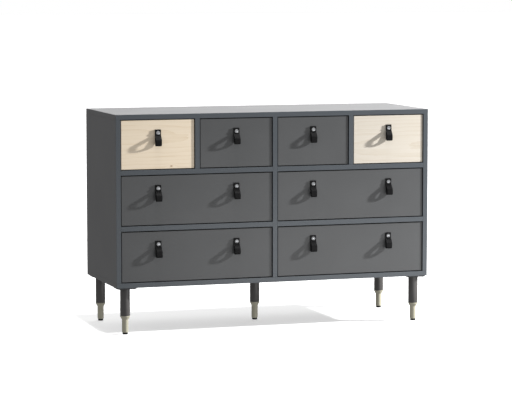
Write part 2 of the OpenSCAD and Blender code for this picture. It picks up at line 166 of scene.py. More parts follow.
class Paint(Nodes):
    """A material in the making: one Principled shader, and what feeds it."""

    def __init__(self, name: str) -> None:
        """Starts a material that holds a Principled shader and nothing else."""
        self.material = bpy.data.materials.new(name)
        super().__init__(self.material)
        self.shader = add(self.tree, "ShaderNodeBsdfPrincipled")
        add(self.tree, "ShaderNodeOutputMaterial", {"Surface": self.shader.outputs["BSDF"]})

    @cached_property
    def place(self) -> Socket:
        """The place on the object, in metres."""
        return self.add("ShaderNodeTexCoord", {}, "Object")

    def finished(self, inputs: dict) -> bpy.types.Material:
        """Feeds the shader and gives the material."""
        feed(self.shader, inputs)
        return self.material

    def scaled(self, scale: Sequence[float], centre: Sequence[float] = (0.0, 0.0, 0.0)) -> Socket:
        """Measures the place from a centre.

        Args:
            scale: Factors along X, Y and Z.
            centre: The place that comes out as zero.

        Returns:
            (place - centre) * scale.
        """
        location = tuple(-c * s for c, s in zip(centre, scale))
        inputs = {"Vector": self.place, "Location": location, "Scale": tuple(scale)}
        return self.add("ShaderNodeMapping", inputs, "Vector", vector_type="POINT")

    def distance(self, scale: Sequence[float], centre: Sequence[float]) -> Socket:
        """Gives the length of (place - centre) * scale."""
        arm = self.scaled(scale, centre)
        return self.add("ShaderNodeVectorMath", {0: arm}, "Value", operation="LENGTH")

    def noise(self, size_mm: float | Sequence[float], detail: float, **more: float) -> Socket:
        """Gives noise.

        Args:
            size_mm: Width of a feature, or its lengths along X, Y and Z.
            detail: Number of finer layers.
            more: Other inputs of the noise node.

        Returns:
            Noise from zero to one.
        """
        if isinstance(size_mm, float):
            where = {"Vector": self.place, "Scale": per_mm(size_mm)}
        else:
            where = {"Vector": self.scaled([per_mm(s) for s in size_mm]), "Scale": 1.0}
        return self.add("ShaderNodeTexNoise", {**where, "Detail": detail, **more}, "Fac")

    def ramp(self, value: Socket, stops: dict[float, Colour]) -> Socket:
        """Turns a value into a colour.

        Args:
            value: The value, from zero to one.
            stops: The colours at some values, from low to high.

        Returns:
            The colour.
        """
        node = add(self.tree, "ShaderNodeValToRGB", {"Fac": value})
        elements = node.color_ramp.elements
        while len(elements) < len(stops):
            elements.new(0.5)
        for element, (position, colour) in zip(elements, stops.items()):
            element.position = position
            element.color = colour
        return node.outputs["Color"]

    def tone(self, value: Socket, code: str, dark: float, pale: float, span: float) -> Socket:
        """Varies a colour from a dark to a pale multiple, as the value crosses a span round 0.5."""
        return self.ramp(value, {0.5 - span / 2: srgb(code, dark), 0.5 + span / 2: srgb(code, pale)})

    def blend(self, share: Socket, first: Socket, second: Colour) -> Socket:
        """Goes from a first colour to a second by a share."""
        return self.add("ShaderNodeMix", {"Factor": share, 6: first, 7: second}, 2, data_type="RGBA")

    def relief(
        self,
        height: Socket,
        depth_mm: float,
        strength: float,
        invert: bool = False,
        under: Socket | None = None,
    ) -> Socket:
        """Turns a height into a bent normal.

        Args:
            height: The height, from zero to one.
            depth_mm: Depth of the relief.
            strength: How much of it shows.
            invert: Whether high values lie deep.
            under: The normal of a coarser or finer relief that it lies on.

        Returns:
            The normal.
        """
        inputs = {"Height": height, "Distance": depth_mm * MM, "Strength": strength}
        if under is not None:
            inputs["Normal"] = under
        return self.add("ShaderNodeBump", inputs, "Normal", invert=invert)


# ---------------------------------------------------------------- finishes


class Finish(Protocol):
    """What every finish can do."""

    def build(self) -> bpy.types.Material:
        """Makes the material."""


@dataclass(frozen=True)
class Melamine:
    """Melamine-faced chipboard, pressed against a fine pearl plate.

    The paper under the resin is all but one colour, and the pearl plate leaves shallow dimples about
    a millimetre across, which soften the reflection and give a low, even satin.
    """

    name: str
    colour: str
    roughness: float = 0.42
    dimple_mm: float = 1.4
    cloud_mm: float = 160.0
    cloud_depth: float = 0.05
    cloud_gloss: float = 0.03
    bump_mm: float = 0.02

    def build(self) -> bpy.types.Material:
        """Makes the material."""
        paint = Paint(self.name)
        cloud = paint.noise(self.cloud_mm, 3.0)
        normal = paint.relief(paint.noise(self.dimple_mm, 1.0), self.bump_mm, 0.6)
        colour = paint.tone(cloud, self.colour, 1 - self.cloud_depth, 1 + self.cloud_depth, 0.4)
        gloss = paint.remap(cloud, self.roughness - self.cloud_gloss, self.roughness + self.cloud_gloss)
        return paint.finished({"Base Color": colour, "Roughness": gloss, "Normal": normal})


@dataclass(frozen=True)
class EdgeBand:
    """ABS edge band, extruded and then scraped flush along the board.

    The scraper leaves fine streaks, and the plastic is a shade bluer and glossier than the faces.
    """

    name: str
    colour: str
    roughness: float = 0.36
    streak_mm: float = 2.0

    def build(self) -> bpy.types.Material:
        """Makes the material."""
        paint = Paint(self.name)
        colour = paint.tone(paint.noise(self.streak_mm, 2.0), self.colour, 0.96, 1.04, 0.3)
        return paint.finished({"Base Color": colour, "Roughness": self.roughness})


@dataclass(frozen=True)
class Veneer:
    """Flat-sawn maple veneer, sanded and matt lacquered, with its grain across the width.

    Flat sawing cuts the growth rings at a low angle, so they show as long nested arches. Fine pores
    run along them, and one small knot bends the rings round itself.
    """

    name: str
    pale: str
    middle: str
    dark: str
    heart: tuple[float, float, float]
    knot: tuple[float, float, float]
    knot_colour: str = "#98714a"
    knot_scale: tuple[float, float, float] = (0.5, 0.0, 1.0)
    knot_mm: tuple[float, float] = (1.0, 3.6)
    knot_reach_mm: float = 16.0
    knot_push_mm: float = 9.0
    stretch: float = 14.0
    ring_mm: float = 11.0
    ring_share: float = 0.3
    ring_power: float = 2.2
    soft_mm: tuple[float, float, float] = (160.0, 6.0, 6.0)
    warp_mm: tuple[float, float, float] = (150.0, 40.0, 40.0)
    warp_depth_mm: float = 14.0
    pore_mm: tuple[float, float, float] = (45.0, 1.1, 1.1)
    pore_share: float = 0.16
    roughness: float = 0.55
    specular: float = 0.3

    def build(self) -> bpy.types.Material:
        """Makes the material."""
        paint = Paint(self.name)
        knot = paint.distance(self.knot_scale, self.knot)
        soft = paint.noise(self.soft_mm, 3.0)
        parts = {"Factor": self.ring_share, 2: soft, 3: self._rings(paint, knot)}
        figure = paint.add("ShaderNodeMix", parts, data_type="FLOAT")
        stops = {0.2: srgb(self.pale), 0.5: srgb(self.middle), 0.85: srgb(self.dark)}
        pores = paint.noise(self.pore_mm, 2.0)
        pore_mask = paint.remap(pores, 0.0, self.pore_share, 0.56, 0.74)
        with_pores = paint.blend(pore_mask, paint.ramp(figure, stops), srgb(self.dark))
        core, rim = (size * MM for size in self.knot_mm)
        spot = paint.remap(knot, 0.8, 0.0, core, rim, "SMOOTHSTEP")
        return paint.finished(
            {
                "Base Color": paint.blend(spot, with_pores, srgb(self.knot_colour)),
                "Roughness": self.roughness,
                "Specular IOR Level": self.specular,
                "Normal": paint.relief(pores, 0.05, 0.5, invert=True),
            }
        )

    def _rings(self, paint: Paint, knot: Socket) -> Socket:
        """Gives the growth rings: a sharp-edged wave of the distance from the log's heart.

        The distance is the length of (x / stretch, y / 4, z) from the heart, bent by slow noise and
        pushed away from the knot by a bell of its distance.

        Args:
            paint: The material in the making.
            knot: Distance from the knot's axis.

        Returns:
            A value from zero to one that rises through each ring.
        """
        radius = paint.distance((1.0 / self.stretch, 0.25, 1.0), self.heart)
        warp = paint.noise(self.warp_mm, 3.0)
        warped = paint.maths("MULTIPLY_ADD", warp, self.warp_depth_mm * MM, radius)
        push, reach = self.knot_push_mm * MM, self.knot_reach_mm * MM
        bell = paint.remap(knot, push, 0.0, 0.0, reach, "SMOOTHERSTEP")
        turns = paint.maths("MULTIPLY", paint.maths("ADD", warped, bell), per_mm(self.ring_mm))
        return paint.maths("POWER", paint.maths("FRACT", turns), self.ring_power)


@dataclass(frozen=True)
class Leather:
    """Vegetable-tanned cowhide, dyed black and lightly waxed.

    The grain side has fine pebbles under a millimetre across. The hollows of the broader creases are
    painted darker, as shade, and the wax gives a broad, dull highlight.
    """

    name: str
    colour: str
    crease_hollow_shade: str
    pebble_mm: float = 0.9
    crease_mm: float = 7.0
    roughness: float = 0.6
    specular: float = 0.25

    def build(self) -> bpy.types.Material:
        """Makes the material."""
        paint = Paint(self.name)
        cells = {"Vector": paint.place, "Scale": per_mm(self.pebble_mm)}
        pebbles = paint.add("ShaderNodeTexVoronoi", cells, "Distance", feature="SMOOTH_F1")
        creases = paint.noise(self.crease_mm, 4.0)
        grain = paint.relief(pebbles, 0.12, 0.55, invert=True)
        return paint.finished(
            {
                # Painted shade: the colour darkens where the crease relief is low.
                "Base Color": paint.ramp(creases, {0.35: srgb(self.crease_hollow_shade), 0.65: srgb(self.colour)}),
                "Roughness": paint.remap(creases, self.roughness - 0.1, self.roughness + 0.12),
                "Specular IOR Level": self.specular,
                "Normal": paint.relief(creases, 0.5, 0.35, under=grain),
            }
        )


@dataclass(frozen=True)
class Plating:
    """Steel with a thin plating of nickel or zinc, tumbled before it was plated.

    Tumbling leaves faint, unordered scuffs, so the highlight is bright but slightly broken up.
    """

    name: str
    colour: str
    roughness: float
    scuff_mm: float = 2.5

    def build(self) -> bpy.types.Material:
        """Makes the material."""
        paint = Paint(self.name)
        scuff = paint.noise(self.scuff_mm, 5.0)
        colour = paint.tone(scuff, self.colour, 0.88, 1.0, 0.4)
        gloss = paint.remap(scuff, self.roughness - 0.06, self.roughness + 0.08)
        return paint.finished({"Base Color": colour, "Metallic": 1.0, "Roughness": gloss})


@dataclass(frozen=True)
class Lacquer:
    """Pigmented lacquer, sprayed on turned wood.

    The wood's fibres run up the leg and telegraph through the thin film as faint upright ripples,
    and the sprayed film has a little orange peel.
    """

    name: str
    colour: str
    roughness: float = 0.38
    fibre_mm: tuple[float, float, float] = (1.6, 1.6, 60.0)
    peel_mm: float = 1.8

    def build(self) -> bpy.types.Material:
        """Makes the material."""
        paint = Paint(self.name)
        fibres = paint.noise(self.fibre_mm, 3.0)
        colour = paint.tone(fibres, self.colour, 0.93, 1.05, 0.3)
        height = paint.maths("MULTIPLY_ADD", paint.noise(self.peel_mm, 1.0), 0.5, fibres)
        normal = paint.relief(height, 0.03, 0.5)
        return paint.finished({"Base Color": colour, "Roughness": self.roughness, "Normal": normal})


@dataclass(frozen=True)
class Moulding:
    """Injection-moulded plastic from a spark-eroded tool, which leaves a fine, even matt texture."""

    name: str
    colour: str
    roughness: float = 0.5
    spark_mm: float = 0.7

    def build(self) -> bpy.types.Material:
        """Makes the material."""
        paint = Paint(self.name)
        spark = paint.noise(self.spark_mm, 2.0)
        colour = paint.tone(spark, self.colour, 0.92, 1.0, 0.4)
        normal = paint.relief(spark, 0.02, 0.5)
        return paint.finished({"Base Color": colour, "Roughness": self.roughness, "Normal": normal})


@dataclass(frozen=True)
class Fibreboard:
    """Pressed fibreboard or beech, whose short fibres show as flecks about two millimetres long."""

    name: str
    colour: str
    fleck: str
    roughness: float = 0.6
    fleck_mm: float = 2.2

    def build(self) -> bpy.types.Material:
        """Makes the material."""
        paint = Paint(self.name)
        flecks = paint.noise(self.fleck_mm, 5.0, Roughness=0.7)
        colour = paint.ramp(flecks, {0.38: srgb(self.fleck), 0.6: srgb(self.colour)})
        normal = paint.relief(flecks, 0.04, 0.5)
        return paint.finished({"Base Color": colour, "Roughness": self.roughness, "Normal": normal})


def built(finish: Finish) -> bpy.types.Material:
    """Lets a field build its finish when the dresser's finishes are made."""
    return field(default_factory=finish.build)


# Painted light: these two copies are one veneer, and their colours differ only to stand in for the key
# light. The left copy is painted paler against the weaker light at the left, the right copy darker and
# greyer against the stronger light at the right.
LEFT_VENEER_PAINTED_PALER = Veneer(
    "maple_veneer_left_painted_paler",
    *("#f0e1cb", "#ecdcc4", "#e0ccae"),
    heart=(-0.72, 0.0, 0.715),
    knot=(-0.393, 0.0, 0.609),
)
# Painted darker and greyer than the left copy, against the stronger key light at the right.
RIGHT_VENEER_PAINTED_DARKER = Veneer(
    "maple_veneer_right_painted_darker",
    *("#cfc8bd", "#cbc3b6", "#c2b7a6"),
    heart=(0.9, 0.0, 0.66),
    knot=(0.7, 0.0, 0.72),
)


@dataclass
class Finishes:
    """Every finish of the dresser, built once and shared by its pieces."""

    carcass_face: bpy.types.Material = built(Melamine("melamine_graphite_carcass", "#3c3c3f", 0.4))
    carcass_band: bpy.types.Material = built(EdgeBand("abs_edge_band_graphite", "#4d5257"))
    front_face: bpy.types.Material = built(Melamine("melamine_dark_grey_front", "#525354", 0.45))
    # The two veneer copies are painted paler at the left and darker at the right, standing in for the key
    # light.
    left_veneer_painted_paler: bpy.types.Material = built(LEFT_VENEER_PAINTED_PALER)
    right_veneer_painted_darker: bpy.types.Material = built(RIGHT_VENEER_PAINTED_DARKER)
    drawer_face: bpy.types.Material = built(Melamine("melamine_mid_grey_box", "#8b8d8f", 0.5))
    hardboard: bpy.types.Material = built(Fibreboard("hardboard_grey_back", "#5c5f62", "#4f5255"))
    beech: bpy.types.Material = built(Fibreboard("beech_dowel", "#d2b48c", "#b8946a"))
    # The second leather colour is painted shade for the crease hollows.
    leather: bpy.types.Material = built(Leather("cowhide_black_strap", "#121213", "#0a0a0b"))
    nickel: bpy.types.Material = built(Plating("nickel_plated_screw", "#dcdee1", 0.3))
    zinc: bpy.types.Material = built(Plating("zinc_plated_steel", "#b4b8bc", 0.36))
    nylon: bpy.types.Material = built(Moulding("nylon_guide_pad", "#e9e8e2"))
    post: bpy.types.Material = built(Lacquer("lacquer_dark_grey_post", "#4f4d4c"))
    tip: bpy.types.Material = built(Lacquer("lacquer_cream_tip", "#b3af9c", 0.34))
    plate: bpy.types.Material = built(Moulding("powder_coat_leg_plate", "#3c3d3e", 0.48))
    glide: bpy.types.Material = built(Moulding("polythene_black_glide", "#121212"))


# ---------------------------------------------------------------- surfaces


@dataclass
class Surface:
    """A mesh: its points as an array, and its faces as lists of point numbers."""

    points: np.ndarray
    faces: list[list[int]]

    def shifted(self, shift: np.ndarray) -> "Surface":
        """Shifts the points."""
        return Surface(self.points + shift, self.faces)

    def rotated(self, turn: np.ndarray) -> "Surface":
        """Turns the points with a 3 by 3 matrix."""
        return Surface(self.points @ turn.T, self.faces)


def joined(surfaces: Sequence[Surface]) -> Surface:
    """Puts several surfaces into one, as separate shells."""
    starts = np.cumsum([0] + [len(s.points) for s in surfaces])
    faces = [[int(start) + k for k in face] for s, start in zip(surfaces, starts) for face in s.faces]
    return Surface(np.vstack([s.points for s in surfaces]), faces)


def without_doubles(points: np.ndarray, faces: np.ndarray, grain: float) -> tuple[np.ndarray, np.ndarray]:
    """Merges the points that coincide.

    Args:
        points: The points.
        faces: Point numbers of the faces, one face to a row.
        grain: Size of the cells in which points count as one.

    Returns:
        The points that are left, and the faces with their new numbers.
    """
    cells = np.round(points / grain).astype(np.int64)
    _, index, inverse = np.unique(cells, axis=0, return_index=True, return_inverse=True)
    return points[index], inverse.reshape(-1)[faces]


def grid_quads(rows: int, columns: int) -> np.ndarray:
    """Numbers the quads between consecutive rings of points, where each ring closes on itself.

    Point (i, j) of the grid has number i * columns + j, and the quad's corners are (i, j),
    (i, j + 1), (i + 1, j + 1) and (i + 1, j), with j + 1 taken round the ring.

    Args:
        rows: Number of rings.
        columns: Number of points in a ring.

    Returns:
        One row of four point numbers for each quad.
    """
    i, j = np.meshgrid(np.arange(rows - 1), np.arange(columns), indexing="ij")
    k = (j + 1) % columns
    corners = (i * columns + j, i * columns + k, (i + 1) * columns + k, (i + 1) * columns + j)
    return np.stack([c.ravel() for c in corners], axis=1)


def closed_tube(rings: np.ndarray) -> Surface:
    """Skins a stack of rings and closes both ends with a fan to the ring's middle.

    Args:
        rings: Points as (ring, place on the ring, xyz). Seen from the last ring back to the first,
            the points run clockwise, so that the faces look outwards.

    Returns:
        The closed surface.
    """
    rows, columns, _ = rings.shape
    points = np.vstack([rings.reshape(-1, 3), rings[0].mean(0), rings[-1].mean(0)])
    first, last = rows * columns, rows * columns + 1
    j = np.arange(columns)
    k = (j + 1) % columns
    low = np.stack([k, j, np.full(columns, first)], axis=1)
    high = np.stack([j, k, np.full(columns, last)], axis=1)
    high[:, :2] += (rows - 1) * columns
    faces = grid_quads(rows, columns).tolist() + low.tolist() + high.tolist()
    return Surface(points, faces)


def arc(centre: Sequence[float], radius: float, start: float, end: float, steps: int) -> np.ndarray:
    """Gives points on a circle: centre + radius * (cos a, sin a), with a from start to end in degrees."""
    a = np.radians(np.linspace(start, end, steps + 1))
    return np.array(centre) + radius * np.stack([np.cos(a), np.sin(a)], axis=1)


def eased_outline(corners: Sequence[tuple[float, float, float]], steps: int = 4) -> np.ndarray:
    """Rounds the corners of an open outline.

    At a corner with radius r the outline leaves each side at r * tan(half the turning angle) from the
    corner and follows the circle that touches both sides.

    Args:
        corners: Two coordinates and a radius for each corner; the ends keep radius zero.
        steps: Number of chords in each rounded corner.

    Returns:
        The outline's points.
    """
    places = np.array([c[:2] for c in corners], float)
    pieces = [places[:1]]
    for k in range(1, len(corners) - 1):
        radius = corners[k][2]
        into = places[k] - places[k - 1]
        away = places[k + 1] - places[k]
        into, away = into / np.linalg.norm(into), away / np.linalg.norm(away)
        turn = math.atan2(into[0] * away[1] - into[1] * away[0], float(into @ away))
        if radius <= 0 or abs(turn) < 1e-6:
            pieces.append(places[k : k + 1])
            continue
        side = math.copysign(1.0, turn)
        inward = side * np.array([-into[1], into[0]])
        centre = places[k] - into * radius * math.tan(abs(turn) / 2) + inward * radius
        start = math.degrees(math.atan2(-inward[1], -inward[0]))
        pieces.append(arc(centre, radius, start, start + math.degrees(turn), steps))
    pieces.append(places[-1:])
    return np.vstack(pieces)


def turned(outline: np.ndarray, steps: int = 96) -> Surface:
    """Turns an outline of (radius, height) round the Z axis.

    Point (i, j) is (r_i cos a_j, r_i sin a_j, h_i). The outline runs from the axis at the bottom,
    round the outside and up to the axis at the top; its two ends lie on the axis and become one
    point each, so that the solid is closed.

    Args:
        outline: Radius and height of each point, with radius zero at both ends.
        steps: Number of points round the axis.

    Returns:
        The closed surface.
    """
    a = np.linspace(0, 2 * np.pi, steps, endpoint=False)
    inner = outline[1:-1]
    rings = np.empty((len(inner), steps, 3))
    rings[..., 0] = inner[:, :1] * np.cos(a)
    rings[..., 1] = inner[:, :1] * np.sin(a)
    rings[..., 2] = inner[:, 1:]
    tube = closed_tube(rings)
    tube.points[-2] = (0, 0, outline[0, 1])
    tube.points[-1] = (0, 0, outline[-1, 1])
    return tube


def rounded_block(low: np.ndarray, high: np.ndarray, radius: float) -> Surface:
    """Makes a block whose edges and corners are rounded.

    A point p on the plain block moves to c + radius * (p - c) / |p - c|, where c is p held inside the
    block shrunk by radius. The grid lines on each face lie at radius * (1 - tan 0, 22.5 and 45
    degrees) from its borders, so that the chords of a rounded edge are equal.

    Args:
        low: Lowest corner.
        high: Highest corner.
        radius: Radius of the edges.

    Returns:
        The closed surface.
    """
    low, high = np.asarray(low, float), np.asarray(high, float)
    from_border = radius * (1 - np.tan(np.radians([45.0, 22.5, 0.0])))
    lines = [np.concatenate([a + from_border, (b - from_border)[::-1]]) for a, b in zip(low, high)]
    sheets, quads, start = [], [], 0
    for axis in range(3):
        u, v = (axis + 1) % 3, (axis + 2) % 3
        for end, level in enumerate((low[axis], high[axis])):
            a, b = np.meshgrid(lines[u], lines[v], indexing="ij")
            sheet = np.empty(a.shape + (3,))
            sheet[..., u], sheet[..., v], sheet[..., axis] = a, b, level
            n = len(lines[u])
            i, j = np.meshgrid(np.arange(n - 1), np.arange(n - 1), indexing="ij")
            loop = [i * n + j, (i + 1) * n + j, (i + 1) * n + j + 1, i * n + j + 1]
            quad = np.stack([c.ravel() for c in (loop if end else loop[::-1])], axis=1)
            sheets.append(sheet.reshape(-1, 3))
            quads.append(quad + start)
            start += n * n
    points = np.vstack(sheets)
    core = np.clip(points, low + radius, high - radius)
    away = points - core
    points = core + radius * away / np.linalg.norm(away, axis=1, keepdims=True)
    points, faces = without_doubles(points, np.vstack(quads), 1e-7)
    return Surface(points, faces.tolist())


def to_object(
    name: str, surface: Surface, material: bpy.types.Material, sharp_degrees: float = 32.0
) -> bpy.types.Object:
    """Puts a surface into a mesh object at the origin.

    Args:
        name: The piece's name.
        surface: The points and faces.
        material: Its finish.
        sharp_degrees: Edges that turn more than this stay crisp; the rest shade smooth.

    Returns:
        The linked object.
    """
    mesh = bpy.data.meshes.new(name)
    mesh.from_pydata(surface.points.tolist(), [], surface.faces)
    mesh.materials.append(material)
    mesh.polygons.foreach_set("use_smooth", np.ones(len(mesh.polygons), bool))
    mesh.set_sharp_from_angle(angle=math.radians(sharp_degrees))
    mesh.update()
    piece = bpy.data.objects.new(name, mesh)
    bpy.context.scene.collection.objects.link(piece)
    return piece


def dress(piece: bpy.types.Object, body: str, slot: str, *nodes: str) -> bpy.types.Object:
    """Lets a finished piece ride on its body and stand for CAD nodes.

    Args:
        piece: The finished piece, in place.
        body: The CAD body that it moves with.
        slot: The record's material slot; not used.
        nodes: The CAD nodes that it stands for.

    Returns:
        The same piece.
    """
    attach(piece, body)
    if nodes:
        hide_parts(*nodes)
    log.info("%s rides on %s (%d points)", piece.name, body, len(piece.data.vertices))
    return piece


def skin(
    name: str, surfaces: Sequence[Surface], finish: bpy.types.Material, body: str, slot: str, node: str
) -> None:
    """Joins surfaces into one finished piece that rides on a body and stands for a node."""
    dress(to_object(name, joined(surfaces), finish), body, slot, node)


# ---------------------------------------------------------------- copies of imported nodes


@dataclass
class CadShell:
    """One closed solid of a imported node, with its doubles merged."""

    points: np.ndarray
    triangles: np.ndarray

    @property
    def low(self) -> np.ndarray:
        """Lowest corner of the solid."""
        return self.points.min(0)

    @property
    def high(self) -> np.ndarray:
        """Highest corner of the solid."""
        return self.points.max(0)

    @property
    def size(self) -> np.ndarray:
        """Lengths along X, Y and Z."""
        return self.high - self.low

    @property
    def middle(self) -> np.ndarray:
        """Middle of the solid's box."""
        return (self.high + self.low) / 2


def merged_node(node: str) -> CadShell:
    """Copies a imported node's triangles and merges the points that coincide.

    Args:
        node: The node's name.

    Returns:
        The whole node as one shell.
    """
    mesh = frame["nodes"][node].data
    coordinates = np.empty(len(mesh.vertices) * 3, np.float32)
    mesh.vertices.foreach_get("co", coordinates)
    mesh.calc_loop_triangles()
    corners = np.empty(len(mesh.loop_triangles) * 3, np.int32)
    mesh.loop_triangles.foreach_get("vertices", corners)
    places = coordinates.reshape(-1, 3).astype(float)
    points, triangles = without_doubles(places, corners.reshape(-1, 3), 2e-6)
    a, b, c = triangles.T
    return CadShell(points, triangles[(a != b) & (b != c) & (a != c)])


def shells_of(node: str) -> list[CadShell]:
    """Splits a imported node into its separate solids.

    Each point takes the lowest point number that any of its triangles has, until nothing changes;
    points with one number then belong to one solid.

    Args:
        node: The node's name.

    Returns:
        One shell for each solid.
    """
    whole = merged_node(node)
    label = np.arange(len(whole.points))
    while True:
        lowest = label[whole.triangles].min(1)
        spread = label.copy()
        np.minimum.at(spread, whole.triangles.ravel(), np.repeat(lowest, 3))
        spread = spread[spread]
        if np.array_equal(spread, label):
            break
        label = spread
    shells = []
    for number in np.unique(label):
        own = np.flatnonzero(label == number)
        renumber = np.full(len(label), -1)
        renumber[own] = np.arange(len(own))
        kept = whole.triangles[label[whole.triangles[:, 0]] == number]
        shells.append(CadShell(whole.points[own], renumber[kept]))
    return shells


def box_edge_weights(shell: CadShell, edges: np.ndarray) -> np.ndarray:
    """Marks the edges that lie on the twelve edges of a solid's own box.

    An edge counts when both its ends lie on the same two faces of the box.

    Args:
        shell: The solid.
        edges: Two point numbers for each edge.

    Returns:
        One for an edge on the box's edges, zero for any other.
    """
    near = 5e-6
    on_low, on_high = (np.abs(shell.points - corner) < near for corner in (shell.low, shell.high))
    on_face = np.hstack([on_low, on_high])
    shared = on_face[edges[:, 0]] & on_face[edges[:, 1]]
    return (shared.sum(1) >= 2).astype(np.float32)


def eased_edges(piece: bpy.types.Object, width: float, segments: int, limit: str) -> bpy.types.Modifier:
    """Adds a live Bevel modifier.

    Args:
        piece: The piece to ease.
        width: Width of the rounding.
        segments: Number of chords across it.
        limit: What picks the edges: their weight or their angle.

    Returns:
        The modifier.
    """
    bevel = piece.modifiers.new("eased_edges", "BEVEL")
    bevel.width = width
    bevel.segments = segments
    bevel.limit_method = limit
    bevel.use_clamp_overlap = False
    bevel.harden_normals = True
    return bevel


def eased_shell(
    name: str,
    shell: CadShell,
    easing: float,
    finish: bpy.types.Material,
    band: bpy.types.Material | None = None,
) -> bpy.types.Object:
    """Copies one solid of a board and eases its outer edges, with bores and grooves as they are.

    Args:
        name: Name of the object.
        shell: The solid.
        easing: Width of the rounding along the outer edges.
        finish: Finish of the faces.
        band: Finish of the front edge, which looks towards -Y, or None where it has none.

    Returns:
        The linked object, with its Bevel modifier live.
    """
    piece = to_object(name, Surface(shell.points, shell.triangles.tolist()), finish, 20.0)
    mesh = piece.data
    edges = np.empty(len(mesh.edges) * 2, np.int32)
    mesh.edges.foreach_get("vertices", edges)
    weight = mesh.attributes.new("bevel_weight_edge", "FLOAT", "EDGE")
    weight.data.foreach_set("value", box_edge_weights(shell, edges.reshape(-1, 2)))
    if band is not None:
        mesh.materials.append(band)
        centres = np.empty(len(mesh.polygons) * 3, np.float32)
        mesh.polygons.foreach_get("center", centres)
        on_front = np.abs(centres.reshape(-1, 3)[:, 1] - shell.low[1]) < 1e-5
        mesh.polygons.foreach_set("material_index", on_front.astype(np.int32))
    eased_edges(piece, easing, 3, "WEIGHT")
    return piece


def merge_objects(name: str, objects: Sequence[bpy.types.Object]) -> bpy.types.Object:
    """Joins objects into one, with their modifiers applied first.

    Args:
        name: Name of the joined piece.
        objects: The parts, which share their material slots.

    Returns:
        The joined piece.
    """
    for part in objects:
        with bpy.context.temp_override(object=part, active_object=part, selected_objects=[part]):
            for modifier in list(part.modifiers):
                bpy.ops.object.modifier_apply(modifier=modifier.name)
    first = objects[0]
    if len(objects) > 1:
        every = list(objects)
        with bpy.context.temp_override(
            active_object=first, object=first, selected_objects=every, selected_editable_objects=every
        ):
            bpy.ops.object.join()
    first.name = name
    first.data.name = name
    return first


def eased_board(
    name: str,
    node: str,
    easing: float,
    finish: bpy.types.Material,
    band: bpy.types.Material | None = None,
) -> bpy.types.Object:
    """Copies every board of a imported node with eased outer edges, as one piece.

    Args:
        name: Name of the piece.
        node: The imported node.
        easing: Width of the rounding along the outer edges.
        finish: Finish of the faces.
        band: Finish of the front edges, or None.

    Returns:
        The linked piece.
    """
    shells = enumerate(shells_of(node))
    return merge_objects(name, [eased_shell(f"{name}_{k}", s, easing, finish, band) for k, s in shells])


# ---------------------------------------------------------------- screws and metalwork


class Recess(Enum):
    """The drive in a screw's head."""

    HEXAGON = "hexagon"
    CROSS = "cross"


def recess_radius(recess: Recess, across: float, a: np.ndarray) -> np.ndarray:
    """Gives the recess's radius at each angle.

    A hexagon of corner radius R has R cos 30 / cos(a - 30) within each sixth of a turn. A cross goes
    from a third of R to R with the fourth power of cos 2a.

    Args:
        recess: The kind of drive.
        across: Twice the largest radius.
        a: Angles in radians.

    Returns:
        The radius at each angle.
    """
    reach = across / 2
    if recess is Recess.HEXAGON:
        within = np.mod(a, np.pi / 3) - np.pi / 6
        return reach * math.cos(math.pi / 6) / np.cos(within)
    return reach * (0.32 + 0.68 * np.cos(2 * a) ** 4)


def frame_along(axis: np.ndarray) -> np.ndarray:
    """Turns +Z onto an axis.

    Args:
        axis: Direction of any length.

    Returns:
        The rotation matrix, whose columns are two directions across the axis and the axis itself.
    """
    axis = np.asarray(axis, float) / np.linalg.norm(axis)
    helper = np.array([1.0, 0, 0]) if abs(axis[0]) < 0.9 else np.array([0, 1.0, 0])
    x = np.cross(helper, axis)
    x /= np.linalg.norm(x)
    return np.stack([x, np.cross(axis, x), axis], axis=1)


